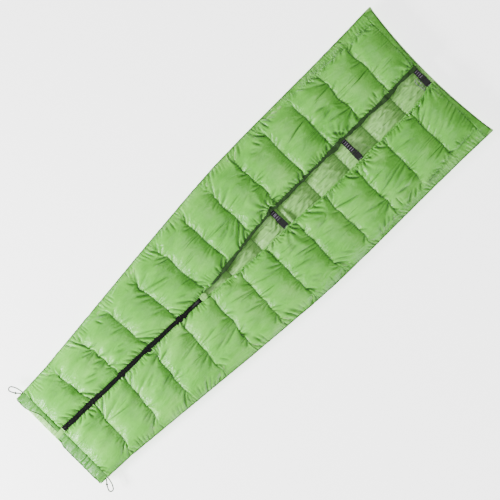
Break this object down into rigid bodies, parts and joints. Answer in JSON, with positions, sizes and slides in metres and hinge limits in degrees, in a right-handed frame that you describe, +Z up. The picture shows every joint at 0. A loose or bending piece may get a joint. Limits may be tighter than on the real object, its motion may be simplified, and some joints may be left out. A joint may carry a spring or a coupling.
{
  "type": "camp quilt",
  "caption": "Tapered quilted down camp quilt, closed by a zip into a foot tube, with fold-back upper flaps joined by buckled straps.",
  "frame": {"origin": "on the ground under the centre of the quilt laid flat", "axes": "+Y towards the head end, +Z up through the thickness, +X across to the right-hand side seen from above with the head at the top"},
  "size_m": [0.6286, 1.9, 0.068],
  "materials": {
    "shell": "satin ripstop",
    "lining": "satin",
    "down": "loose down",
    "green_trim": "woven",
    "dark_binding": "folded binding",
    "black_plastic": "moulded",
    "black_webbing": "ribbed webbing",
    "zip_tape": "woven tape",
    "zip_coil": "coil",
    "zip_metal": "painted",
    "neck_cord": "speckled stretch cord"
  },
  "bodies": {
    "back": {"back_down": "down", "back_foot_hem": "shell", "back_head_hem": "shell", "back_lining": "lining", "back_shell": "shell", "left_foot_hem": "shell", "left_foot_loop": "green_trim", "left_panel_down": "down", "left_panel_lining": "lining", "left_panel_shell": "shell", "left_side_seam": "green_trim", "left_slit_hem_low": "shell", "left_zip_coil": "zip_coil", "left_zip_tape": "zip_tape", "right_foot_hem": "shell", "right_foot_loop": "green_trim", "right_panel_down": "down", "right_panel_lining": "lining", "right_panel_shell": "shell", "right_side_seam": "green_trim", "right_slit_hem_low": "shell", "right_zip_coil": "zip_coil", "right_zip_tape": "zip_tape", "zip_bottom_stop": "zip_coil", "zip_garage": "lining", "zip_top_stops": "zip_coil"},
    "left_flap": {"left_flap_down": "down", "left_flap_head_hem": "shell", "left_flap_lining": "lining", "left_flap_shell": "shell", "left_slit_binding": "dark_binding", "left_slit_hem": "shell", "lower_strap_webbing": "black_webbing", "neck_strap_webbing": "black_webbing", "upper_strap_webbing": "black_webbing"},
    "right_flap": {"lower_buckle_socket": "black_plastic", "lower_socket_tab": "black_webbing", "neck_buckle_socket": "black_plastic", "neck_cord": "neck_cord", "neck_cord_toggle": "black_plastic", "neck_socket_tab": "black_webbing", "right_flap_down": "down", "right_flap_head_hem": "shell", "right_flap_lining": "lining", "right_flap_shell": "shell", "right_slit_hem": "shell", "upper_buckle_socket": "black_plastic", "upper_socket_tab": "black_webbing"},
    "zip_slider": {"zip_slider": "zip_metal"},
    "zip_puller": {"zip_puller": "zip_metal"},
    "upper_plug": {"upper_buckle_plug": "black_plastic"},
    "lower_plug": {"lower_buckle_plug": "black_plastic"},
    "neck_plug": {"neck_buckle_plug": "black_plastic"}
  },
  "joints": [
    {"name": "left_flap_fold", "type": "hinge", "parent": "back", "child": "left_flap", "pos_m": [0.02021, -0.19877, 0.0685], "axis": [0.2493, -0.9684, 0], "range_deg": [0, 170]},
    {"name": "right_flap_fold", "type": "hinge", "parent": "back", "child": "right_flap", "pos_m": [-0.02021, -0.19877, 0.0685], "axis": [0.2493, 0.9684, 0], "range_deg": [0, 170]},
    {"name": "zip_slide", "type": "slide", "parent": "back", "child": "zip_slider", "axis": [-0.0266, -0.9996, 0], "range_m": [0, 0.645]},
    {"name": "puller_hinge", "type": "hinge", "parent": "zip_slider", "child": "zip_puller", "pos_m": [-0.00044, -0.24249, 0.05685], "axis": [-0.9996, 0.0266, 0], "range_deg": [0, 160]},
    {"name": "upper_buckle_release", "type": "slide", "parent": "left_flap", "child": "upper_plug", "axis": [-1, 0, 0], "range_m": [0, 0.022], "deforming": ["upper_strap_webbing"]},
    {"name": "lower_buckle_release", "type": "slide", "parent": "left_flap", "child": "lower_plug", "axis": [-1, 0, 0], "range_m": [0, 0.022], "deforming": ["lower_strap_webbing"]},
    {"name": "neck_buckle_release", "type": "slide", "parent": "left_flap", "child": "neck_plug", "axis": [-1, 0, 0], "range_m": [0, 0.022], "deforming": ["neck_strap_webbing"]}
  ]
}
